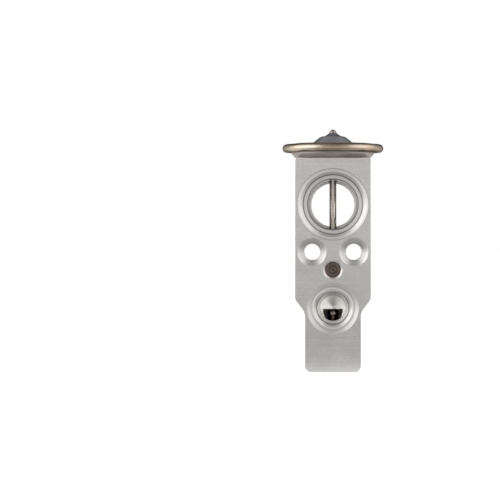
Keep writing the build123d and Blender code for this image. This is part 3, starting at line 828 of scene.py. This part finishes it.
@dataclass
class Block:
    """The aluminium block, with a finish for each way that it was cut, and the thread in its foot.

    Args:
        axis_reach: Radius of the widest bore on the upright axis.
        clamp_pitch: Pitch of the tapped hole's thread.
        foot_ridge: The ridge of the adjusting screw's thread.
        chamber_rise: How far above the inlet's axis the ball's chamber ends.
        vapour_step: How far behind the middle the front vapour port gives way to the back one.
        blind_reach: How far past the middle a blind port may reach.
        apex_reach: How near the tip of a drilled end its few broad faces lie.
        twist: How far a port's face may look round the port's axis.
        apex_twist: The same for the broad faces at a drilled tip.
        end_slope: How far the faces of a drilled end look along the axis at least.
        hair: How near a face lies to a limit that it counts as being on.
        chamfer: How far the chamfers of the front and back reach in.
    """

    axis_reach: float = 14.1 * MM
    clamp_pitch: float = 1.25 * MM
    foot_ridge: ThreadRidge = ThreadRidge(7.0 * MM, 6.47 * MM, pitch=1.0 * MM, low=1.0 * MM, high=7.0 * MM)
    chamber_rise: float = 4.0 * MM
    vapour_step: float = 5.0 * MM
    blind_reach: float = 4.0 * MM
    apex_reach: float = 1.6 * MM
    twist: float = 0.12
    apex_twist: float = 0.7
    end_slope: float = 0.2
    hair: float = 0.02 * MM
    chamfer: float = 0.26 * MM

    def plain_finishes(self) -> list[Metal]:
        """The finishes of the faces that belong to no port, and that of the tapped hole."""
        return [
            Metal(
                "milled", srgb(199, 197, 195), srgb(176, 174, 172), roughness=0.42, marks=Marks.ACROSS,
                pitch=0.14 * MM, depth=2.5 * MICRON, stretch=0.3, contrast=0.06, flecks=0.5,
            ),
            Metal(
                "skin", srgb(192, 190, 188), srgb(172, 170, 168), roughness=0.38, marks=Marks.THROUGH,
                pitch=0.4 * MM, stretch=0.3, contrast=0.08,
            ),
            Metal("edge", srgb(214, 212, 210), srgb(196, 194, 192), roughness=0.3),
            Metal(
                "axis", srgb(150, 146, 140), srgb(96, 92, 86), roughness=0.32, marks=Marks.ROUND_Z,
                pitch=0.3 * MM, depth=5 * MICRON, stretch=0.3, rim_level=0.4,
            ),
            Metal(
                "chamber", srgb(188, 184, 179), srgb(148, 144, 139), roughness=0.4, marks=Marks.ROUND_Z,
                rim_level=0.8,
            ),
            Metal(
                "clamp_bore", srgb(222, 210, 202), srgb(178, 166, 158), roughness=0.3, marks=Marks.ROUND_Y,
                centre=tuple(CLAMP.centre()), thread_pitch=self.clamp_pitch, rim_level=0.7,
            ),
        ]

    def port_finishes(self, port: Port, half_depth: float) -> list[Metal]:
        """The finishes of one port: its open mouth, its bore and the drilled end behind that.

        Args:
            port: The port.
            half_depth: Half the block's depth.

        Returns:
            The finishes.
        """
        common = {
            "marks": Marks.ROUND_Y,
            "centre": tuple(port.centre()),
            "depth": 1.2 * MICRON,
            "corners": port.painted_light_marks(half_depth),
        }
        mouth = Metal(
            f"{port.name}_mouth", srgb(210, 208, 206), srgb(194, 192, 190), roughness=0.46, pitch=0.16 * MM,
            stretch=0.6, contrast=0.08, rim_level=0.8, **common,
        )
        # Except in the tapped hole, the bore and the drilled end are lighter than the mouth: painted light on
        # deep walls that little light reaches.
        bore = Metal(
            f"{port.name}_bore", srgb(238, 236, 233), srgb(220, 217, 213), roughness=0.26, pitch=0.2 * MM,
            stretch=0.5, contrast=0.06, rim_level=0.8, **common,
        )
        shade_and_stain = port is CLAMP
        light = srgb(208, 194, 184) if shade_and_stain else srgb(244, 242, 239)
        dark = srgb(170, 156, 147) if shade_and_stain else srgb(226, 223, 219)
        end = Metal(f"{port.name}_end", light, dark, roughness=0.36, stretch=0.85, contrast=0.08, **common)
        return [mouth, end] if shade_and_stain else [mouth, bore, end]

    def port_finish(self, centre: Vector, normal: Vector, half_depth: float) -> str | None:
        """Says which port's finish a face gets.

        Args:
            centre: The face's middle.
            normal: The face's outward normal.
            half_depth: Half the block's depth.

        Returns:
            The finish's name, or None for a face that belongs to no port.
        """
        for port in PORTS:
            middle = port.centre()
            if port is SUCTION_FRONT and centre.y > self.vapour_step:
                continue
            if port is SUCTION_BACK and centre.y < self.vapour_step:
                continue
            if port in (INLET, OUTLET, CLAMP) and centre.y * port.side < -self.blind_reach:
                continue
            away = math.hypot(centre.x - middle.x, centre.z - middle.z)
            if away > port.reach * MM:
                continue
            around = Vector((centre.z - middle.z, 0, middle.x - centre.x)).normalized()
            if abs(normal.dot(around)) > (self.twist if away > self.apex_reach else self.apex_twist):
                continue
            depth = half_depth - (centre.y * port.side if port.side else abs(centre.y))
            if depth < port.mouth_depth * MM:
                return f"{port.name}_mouth"
            return f"{port.name}_{'end' if port.side and abs(normal.y) > self.end_slope else 'bore'}"
        return None

    def face_finish(self, centre: Vector, normal: Vector, low: Vector, high: Vector) -> str:
        """Says which finish a face of the block gets.

        Args:
            centre: The face's middle.
            normal: The face's outward normal.
            low: The block's lowest corner.
            high: The block's highest corner.

        Returns:
            The finish's name.
        """
        from_end = min(centre.y - low.y, high.y - centre.y)
        flat, slanted = abs(normal.y) > 0.99, 0.6 < abs(normal.y) < 0.8
        if from_end < self.hair and flat:
            return "milled"
        port = self.port_finish(centre, normal, high.y)
        if port is not None:
            return port
        if from_end < self.chamfer and slanted:
            return "edge"
        faces_out = centre.x * normal.x + centre.y * normal.y > 0.5 * MM
        inside = low.z + self.hair < centre.z < high.z - self.hair and not faces_out
        if inside and math.hypot(centre.x, centre.y) < self.axis_reach:
            chamber_top = INLET.centre().z + self.chamber_rise
            return "chamber" if self.foot_ridge.high < centre.z < chamber_top else "axis"
        return "skin"

    def foot_thread(self) -> bpy.types.Object:
        """Winds the ridge of the thread in the foot, which the adjusting screw turns in.

        Returns:
            The ridge.
        """
        ridge = self.foot_ridge.build("foot_thread")
        finish = Metal(
            "thread_aluminium", srgb(206, 203, 198), srgb(176, 172, 166), roughness=0.28, stretch=0.2
        )
        ridge.data.materials.append(finish.build())
        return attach(ridge, "body")

    def dress(self) -> None:
        """Gives each face of the block its finish."""
        block = frame["nodes"]["valve_body"]
        low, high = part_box("valve_body")
        finishes = self.plain_finishes()
        for port in PORTS:
            finishes += self.port_finishes(port, high.y)
        names = [finish.name for finish in finishes]
        block.data.materials.clear()
        for finish in finishes:
            block.data.materials.append(finish.build())
        for face in block.data.polygons:
            face.material_index = names.index(self.face_finish(face.center, face.normal, low, high))
        LOG.info("valve_body: %d finishes", len(names))

    def build(self) -> None:
        """Dresses the block and cuts its thread."""
        self.dress()
        self.foot_thread()
        LOG.info("foot_thread: pitch %.2f mm", self.foot_ridge.pitch / MM)


@dataclass
class PowerHead:
    """The gas-charged head with its weld bead and solder.

    Args:
        around: Sections of the weld bead.
        across: Points on each section.
        ripples: Weld ripples round the rim.
        ripple_depth: How deep a ripple is.
        ripple_rise: Share of that depth at the bead's top and foot.
        lump_depth: How far the bead's thickness wanders.
        lumps: Share, waves round the rim and phase of each wave that the wander is made of.
        flattened: Share of its height that the diaphragm keeps when the rod has closed the valve; not used.
    """

    around: int = 720
    across: int = 40
    ripples: int = 210
    ripple_depth: float = 0.012 * MM
    ripple_rise: float = 0.4
    lump_depth: float = 0.035 * MM
    lumps: tuple[tuple[float, int, float], ...] = ((1.0, 3, 0.4), (0.6, 7, 2.1), (0.4, 13, 4.0))
    flattened: float = 0.1

    def rim_bead(self) -> bpy.types.Object:
        """Winds the weld bead, a little uneven, inside the solid that it replaces.

        Returns:
            The bead.
        """
        low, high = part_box("rim_weld")
        tube = (high.z - low.z) / 2
        major = (high.x - low.x) / 2 - tube
        middle = (high.z + low.z) / 2
        rings = []
        for i in range(self.around + 1):
            turn = math.tau * i / self.around
            ripple = self.ripple_depth * (0.5 + 0.5 * math.cos(self.ripples * turn))
            wander = sum(share * math.sin(waves * turn + phase) for share, waves, phase in self.lumps)
            lump = self.lump_depth * (0.5 + 0.25 * wander)  # the wander runs from -2 to 2
            ring = []
            for k in range(self.across):
                angle = math.tau * k / self.across
                outward = 0.5 + 0.5 * math.cos(angle)
                reach = major + (tube - (ripple + lump) * outward) * math.cos(angle)
                height = middle + (tube - self.ripple_rise * ripple) * math.sin(angle)
                ring.append(polar(reach, turn, height))
            rings.append(ring)
        bead = MeshKit.loft("rim_bead", rings, smooth_angle=60.0)
        finish = HeatTint(
            "heat_tinted_weld", srgb(182, 171, 155), srgb(150, 134, 117), srgb(90, 75, 63),
            seam=(2.0 * MM, low.y, middle), half_height=tube,
        )
        bead.data.materials.append(finish.build())
        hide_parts("rim_weld")
        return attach(bead, "body")

    def flexing_diaphragm(self) -> bpy.types.Object:
        """Copies the diaphragm to a piece with a mesh of its own, carried by the body.

        Returns:
            The diaphragm.
        """
        diaphragm = flexible_copy("diaphragm", "flexing_diaphragm")
        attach(diaphragm, "body")
        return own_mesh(diaphragm)

    def build(self) -> None:
        """Builds the bead and dresses the head's pieces."""
        self.rim_bead()
        LOG.info("rim_bead: %d sections", self.around)
        turned = Metal(
            "turned_steel", srgb(186, 180, 174), srgb(150, 144, 138), roughness=0.48, marks=Marks.ROUND_Z,
            pitch=0.3 * MM, depth=2.5 * MICRON, stretch=0.8, tint=srgb(140, 120, 102), tint_share=0.35,
            rim_level=0.7,
        )
        pressed = Metal(
            "pressed_steel", srgb(156, 158, 162), srgb(120, 121, 126), roughness=0.36, marks=Marks.ROUND_Z,
            pitch=0.6 * MM, depth=2 * MICRON, stretch=0.2, tint=srgb(124, 106, 88), tint_share=0.25,
            rim_level=0.15,
        )
        solder = Metal(
            "solder", srgb(138, 140, 146), srgb(92, 92, 98), roughness=0.34, depth=12 * MICRON, rim_level=0.15
        )
        plug = Metal("plug_steel", srgb(150, 136, 128), srgb(108, 96, 90), roughness=0.2, rim_level=0.15)
        disc = Metal("diaphragm_steel", srgb(190, 190, 190), srgb(160, 160, 160), marks=Marks.ROUND_Z)
        pad = Metal(
            "pad_aluminium", srgb(205, 204, 202), srgb(180, 179, 177), marks=Marks.ROUND_Z, stretch=0.5
        )
        dress(turned, "head_base")
        dress(pressed, "head_cover")
        dress(solder, "plug_solder")
        dress(plug, "charge_plug")
        dress(disc, "diaphragm")
        self.flexing_diaphragm()
        LOG.info("flexing_diaphragm: keeps %.2f of its height", self.flattened)
        dress(pad, "diaphragm_pad")


@dataclass
class Stem:
    """The rod, pin, ball and carrier, with what guides and seals them."""

    def build(self) -> None:
        """Dresses the stem's pieces."""
        rod = Metal(
            "ground_steel", srgb(184, 178, 169), srgb(154, 148, 140), roughness=0.2, marks=Marks.ROUND_Z,
            pitch=0.2 * MM, depth=1.5 * MICRON, stretch=0.4, rim_level=0.15,
        )
        # The ball is darker than polished steel: painted shade for the dark chamber round it.
        ball = Metal(
            "ball_steel", srgb(128, 126, 124), srgb(116, 114, 112), roughness=0.07, depth=0.2 * MICRON,
            rim_level=0.05, contrast=0.02,
        )
        # The carrier's brass is darkened: painted shade for the dark chamber round it.
        carrier = Metal(
            "brass_painted_shade", srgb(84, 60, 46), srgb(60, 44, 35), roughness=0.16, marks=Marks.ROUND_Z,
            stretch=0.2, rim_level=0.1,
        )
        guide = Metal(
            "guide_brass", srgb(206, 176, 112), srgb(170, 140, 84), marks=Marks.ROUND_Z, stretch=0.4
        )
        dress(rod, "push_rod", "valve_pin")
        dress(ball, "valve_ball")
        dress(carrier, "ball_carrier")
        dress(Metal("bronze_strip", srgb(190, 140, 98), srgb(150, 104, 70), roughness=0.3), "damping_ring")
        dress(guide, "rod_guide")
        dress(Metal("washer_steel", srgb(180, 180, 180), srgb(150, 150, 150)), "gland_washer")
        dress(Rubber("seal_rubber", (0.012, 0.022, 0.016)), "rod_seal", "head_seal", "adjuster_seal")


@dataclass
class Adjuster:
    """The adjusting screw in the foot and the spring on it.

    Args:
        across: Points on each ring of the screw.
        rows_per_pitch: Rings to each turn of its thread.
        pitch: The thread's pitch.
        crest_radius: Radius of the thread's crests.
        root_radius: Radius of its roots.
        crest_flat: Share of the pitch that is flat on a crest.
        root_flat: Share of the pitch that is flat in a root.
        thread_length: How far the thread reaches up from the screw's foot.
        pilot_radius: Radius of the smooth shank above the thread.
        groove_radius: Radius of the floor of the seal's groove.
        groove_from_top: How far the groove lies below the spring's seat.
        groove_height: The groove's height.
        boss_radius: Radius of the boss inside the spring.
        boss_height: The boss's height.
        chamfer: Width of the chamfers at the ends.
        across_flats: Width of the hexagon socket.
        socket_depth: Depth of the socket.
        socket_chamfer: Width of the socket's lead-in.
        floor_share: Width of the socket's round floor, as a share of that across its flats.
        tip_radius: Radius of the drilled tip above that floor.
        tip_rise: How far the tip lies above it.
        end_coil: Height of the spring at each end that moves as one; not used.
        still_coil: Half the height of the spring's middle, which doesn't move; not used.
    """

    across: int = 96
    rows_per_pitch: int = 14
    pitch: float = 1.0 * MM
    crest_radius: float = 6.95 * MM
    root_radius: float = 6.34 * MM
    crest_flat: float = 0.12
    root_flat: float = 0.14
    thread_length: float = 4.0 * MM
    pilot_radius: float = 6.24 * MM
    groove_radius: float = 4.5 * MM
    groove_from_top: float = 0.9 * MM
    groove_height: float = 1.9 * MM
    boss_radius: float = 3.2 * MM
    boss_height: float = 1.2 * MM
    chamfer: float = 0.5 * MM
    across_flats: float = 6.0 * MM
    socket_depth: float = 4.3 * MM
    socket_chamfer: float = 0.35 * MM
    floor_share: float = 0.98
    tip_radius: float = 0.4 * MM
    tip_rise: float = 0.9 * MM
    end_coil: float = 0.2 * MM
    still_coil: float = 0.3 * MM

    def threaded_ring(self, height: float, rise: float) -> Ring:
        """One ring of the threaded part.

        Args:
            height: How far it lies above the block's foot.
            rise: How far it lies above the screw's foot.

        Returns:
            The ring's points.
        """
        ends = min(rise, self.thread_length - rise)
        limit = self.crest_radius - max(0.0, self.chamfer - ends)
        flank = 1.0 - self.crest_flat - self.root_flat
        ring = []
        for i in range(self.across):
            lead = height / self.pitch - i / self.across
            away = abs(lead % 1.0 - 0.5) * 2
            share = min(1.0, max(0.0, (1.0 - self.root_flat - away) / flank))
            radius = min(limit, self.root_radius + (self.crest_radius - self.root_radius) * share)
            ring.append(polar(radius, math.tau * i / self.across, height))
        return ring

    def hexagon_ring(self, height: float) -> Ring:
        """One ring of the hexagon socket, with as many points as the screw's other rings.

        Args:
            height: The ring's height.

        Returns:
            The ring's points.
        """
        ring = []
        for i in range(self.across):
            turn = math.tau * i / self.across
            from_flat = (turn + math.pi / 6) % (math.pi / 3) - math.pi / 6
            ring.append(polar(self.across_flats / 2 / math.cos(from_flat), turn, height))
        return ring

    def circles(self, *profile: tuple[float, float]) -> list[Ring]:
        """The screw's plain rings, one for each radius and height."""
        return [MeshKit.circle(radius, height, self.across) for radius, height in profile]

    def screw(self) -> bpy.types.Object:
        """Turns the adjusting screw, with its thread, seal groove, boss and chamfered socket.

        Returns:
            The screw.
        """
        low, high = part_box("adjusting_screw")
        foot = low.z
        seat = high.z - self.boss_height
        groove_top = seat - self.groove_from_top
        groove_foot = groove_top - self.groove_height
        floor = foot + self.socket_depth
        half = self.across_flats / 2
        rows = int(self.thread_length / self.pitch * self.rows_per_pitch)
        rises = [self.thread_length * k / rows for k in range(rows + 1)]
        rings = [
            *self.circles((self.tip_radius, floor + self.tip_rise), (half * self.floor_share, floor)),
            self.hexagon_ring(floor),
            self.hexagon_ring(foot + self.socket_chamfer * 0.5),
            *self.circles((half / math.cos(math.pi / 6) + self.socket_chamfer, foot)),
            *(self.threaded_ring(foot + rise, rise) for rise in rises),
            *self.circles(
                (self.pilot_radius, foot + self.thread_length),
                (self.pilot_radius, groove_foot),
                (self.groove_radius, groove_foot),
                (self.groove_radius, groove_top),
                (self.pilot_radius, groove_top),
                (self.pilot_radius, seat - self.chamfer),
                (self.pilot_radius - self.chamfer, seat),
                (self.boss_radius, seat),
                (self.boss_radius, high.z - self.chamfer),
                (self.boss_radius - self.chamfer, high.z),
            ),
        ]
        screw = MeshKit.loft("threaded_adjuster", rings, smooth_angle=35.0, capped=True)
        finish = Metal(
            "zinc_plate", srgb(196, 192, 182), srgb(160, 156, 148), roughness=0.3, marks=Marks.ROUND_Z,
            pitch=0.2 * MM, stretch=0.2, tint=srgb(186, 170, 124), tint_share=0.35, rim_level=0.6,
        )
        screw.data.materials.append(finish.build())
        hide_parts("adjusting_screw")
        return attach(screw, "adjuster")

    def spring_half(self, name: str, upper: bool) -> bpy.types.Object:
        """Makes one half of the spring as a piece of its own.

        Args:
            name: The half's name.
            upper: Whether it is the upper half, which the ball's carrier rests on.

        Returns:
            The half.
        """
        low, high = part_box("superheat_spring")
        middle = (low.z + high.z) / 2
        half = flexible_copy("superheat_spring", name)
        mesh = bmesh.new()
        mesh.from_mesh(half.data)
        other = [face for face in mesh.faces if (face.calc_center_median().z > middle) != upper]
        bmesh.ops.delete(mesh, geom=other, context="FACES")
        mesh.to_mesh(half.data)
        mesh.free()
        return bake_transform(half)

    def build(self) -> None:
        """Turns the screw, and dresses and halves the spring."""
        self.screw()
        LOG.info("threaded_adjuster: %d points a ring", self.across)
        wire = Metal("spring_wire", srgb(150, 150, 152), srgb(110, 110, 112), roughness=0.3, rim_level=0.5)
        dress(wire, "superheat_spring")
        for name, upper in (("spring_upper_half", True), ("spring_lower_half", False)):
            self.spring_half(name, upper)
            LOG.info("%s: follows what it presses on", name)


@dataclass(frozen=True)
class SoftBox:
    """A broad soft lamp that faces the middle of the valve.

    Args:
        name: The lamp's name.
        bearing: Where it stands round the valve, in degrees from the camera's side towards +X.
        rise: How high it hangs, in degrees above the valve's middle.
        distance: How far away it hangs.
        width: Its width.
        height: Its height.
        power: Its power in watts.
    """

    name: str
    bearing: float
    rise: float
    distance: float
    width: float
    height: float
    power: float

    def hang(self, middle: Vector) -> None:
        """Hangs the lamp.

        Args:
            middle: The point that it faces.
        """
        data = bpy.data.lights.new(self.name, "AREA")
        data.shape = "RECTANGLE"
        data.size = self.width
        data.size_y = self.height
        data.energy = self.power
        bearing, rise = math.radians(self.bearing), math.radians(self.rise)
        level, height = self.distance * math.cos(rise), self.distance * math.sin(rise)
        offset = Vector((level * math.sin(bearing), -level * math.cos(bearing), height))
        lamp = add_object(self.name, data)
        lamp.location = middle + offset
        lamp.rotation_euler = (-offset).to_track_quat("-Z", "Y").to_euler()


class Sheet(Tree):
    """A flat rectangle of the studio, with the node tree of its material."""

    def __init__(self, name: str, material_name: str, corners: list[Point]) -> None:
        """Makes the rectangle, with an empty material.

        Args:
            name: The rectangle's name.
            material_name: The material's name.
            corners: The four corners in order.
        """
        data = bpy.data.meshes.new(name)
        data.from_pydata(corners, [], [(0, 1, 2, 3)])
        self.piece = add_object(name, data)
        material = bpy.data.materials.new(material_name)
        material.use_nodes = True
        data.materials.append(material)
        super().__init__(material.node_tree)
        self.nodes.clear()

    def show(self, shader: bpy.types.Node) -> None:
        """Makes a shader the rectangle's look."""
        self.add("OutputMaterial", {0: shader.outputs[0]})


@dataclass
class Studio:
    """A pale floor, a white surround, soft boxes, three grey cards and the camera.

    Args:
        pixels_per_mm: How large the photograph shows the front face.
        frame_pixels: The photograph's height and width.
        axis_pixel: The photograph's column where the rod's axis stands.
        foot_pixel: The photograph's row where the foot ends.
        distance: How far the camera stands from the front face.
        sight: How far the camera sees.
        sensor_width: The width of the camera's sensor, in millimetres.
        floor_reach: Half the floor's width.
        floor_colour: The floor's colour.
        floor_glow: How much light the floor adds where it is seen or mirrored.
        surround_light: The surround's strength as a source of light.
    """

    pixels_per_mm: float = 2.329
    frame_pixels: float = 500.0
    axis_pixel: float = 332.9
    foot_pixel: float = 372.45
    distance: float = 1.26
    sight: float = 200.0
    sensor_width: float = 36.0
    floor_reach: float = 60.0
    floor_colour: Colour = (0.8, 0.8, 0.8)
    floor_glow: float = 0.54
    surround_light: float = 0.6

    def camera(self) -> None:
        """Sets the camera level, straight in front, with the valve at its place in the frame."""
        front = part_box("valve_body")[0].y
        view_width = self.frame_pixels / self.pixels_per_mm * MM
        data = bpy.data.cameras.new("camera")
        data.sensor_width = self.sensor_width
        data.lens = self.sensor_width * self.distance / view_width
        data.shift_x = (self.frame_pixels / 2 - self.axis_pixel) / self.frame_pixels
        data.clip_end = self.sight
        camera = add_object("camera", data)
        eye_height = (self.foot_pixel - self.frame_pixels / 2) / self.pixels_per_mm * MM
        camera.location = (0.0, front - self.distance, eye_height)
        camera.rotation_euler = (math.pi / 2, 0.0, 0.0)
        bpy.context.scene.camera = camera

    def card(self, name: str, low: Point, high: Point, level: float) -> None:
        """Sets up a grey card that only reflections see, flat between two corners.

        Args:
            name: The card's name.
            low: One corner.
            high: The corner opposite, with the same x on the card's left and right edges.
            level: How light it is, from 0 to 1.
        """
        sheet = Sheet(name, name, [low, (high[0], low[1], low[2]), high, (low[0], high[1], high[2])])
        sheet.show(sheet.add("Emission", {"Color": (level, level, level)}))
        card = sheet.piece
        card.visible_camera = False
        card.visible_diffuse = False
        card.visible_shadow = False
        card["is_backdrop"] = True

    def floor(self) -> None:
        """Lays a pale floor that keeps a soft shadow and goes white away from it."""
        reach = self.floor_reach
        corners = [(-reach, -reach, 0), (reach, -reach, 0), (reach, reach, 0), (-reach, reach, 0)]
        sheet = Sheet("floor", "pale_floor", corners)
        glow_share = sheet.remap(sheet.seen_or_mirrored(), 0.0, 1.0, 0.0, self.floor_glow)
        matt = sheet.add("BsdfDiffuse", {"Color": self.floor_colour})
        glow = sheet.add("Emission", {"Strength": glow_share})
        sheet.show(sheet.add("AddShader", {0: matt.outputs[0], 1: glow.outputs[0]}))
        floor = sheet.piece
        floor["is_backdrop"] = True

    def world(self) -> None:
        """Makes the surround: white where it is seen or mirrored, and softer as a source of light."""
        world = bpy.data.worlds.new("surround")
        bpy.context.scene.world = world
        world.use_nodes = True
        tree = Tree(world.node_tree)
        back = tree.nodes["Background"]
        tree.feed(back.inputs["Color"], (1.0, 1.0, 1.0))
        level = tree.remap(tree.seen_or_mirrored(), 0.0, 1.0, self.surround_light, 1.0)
        tree.feed(back.inputs["Strength"], level)

    def build(self) -> None:
        """Sets up everything round the valve."""
        bpy.context.scene.view_settings.view_transform = "Standard"
        self.camera()
        self.floor()
        self.world()
        low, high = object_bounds()
        middle = (low + high) / 2
        SoftBox("soft_box_left", -70, 24, 0.95, 1.2, 1.0, 8.2).hang(middle)
        SoftBox("soft_box_right", 72, 28, 0.95, 1.0, 1.0, 4.6).hang(middle)
        self.card("card_foot", (-0.16, -0.26, 0.0008), (0.16, -0.03, 0.0008), 0.48)
        self.card("card_above", (-0.35, -0.55, 0.8), (0.35, 0.35, 0.8), 0.6)
        self.card("card_front", (-0.4, -1.0, 0.42), (0.4, -0.75, 0.9), 0.4)
        LOG.info("studio: floor, surround, two soft boxes, three cards and the camera")


def main() -> None:
    """Builds the studio and the valve in order."""
    logging.basicConfig(level=logging.INFO, format="%(name)s: %(message)s")
    Studio().build()
    Block().build()
    PowerHead().build()
    Stem().build()
    Adjuster().build()


if __name__ == "__main__":
    main()
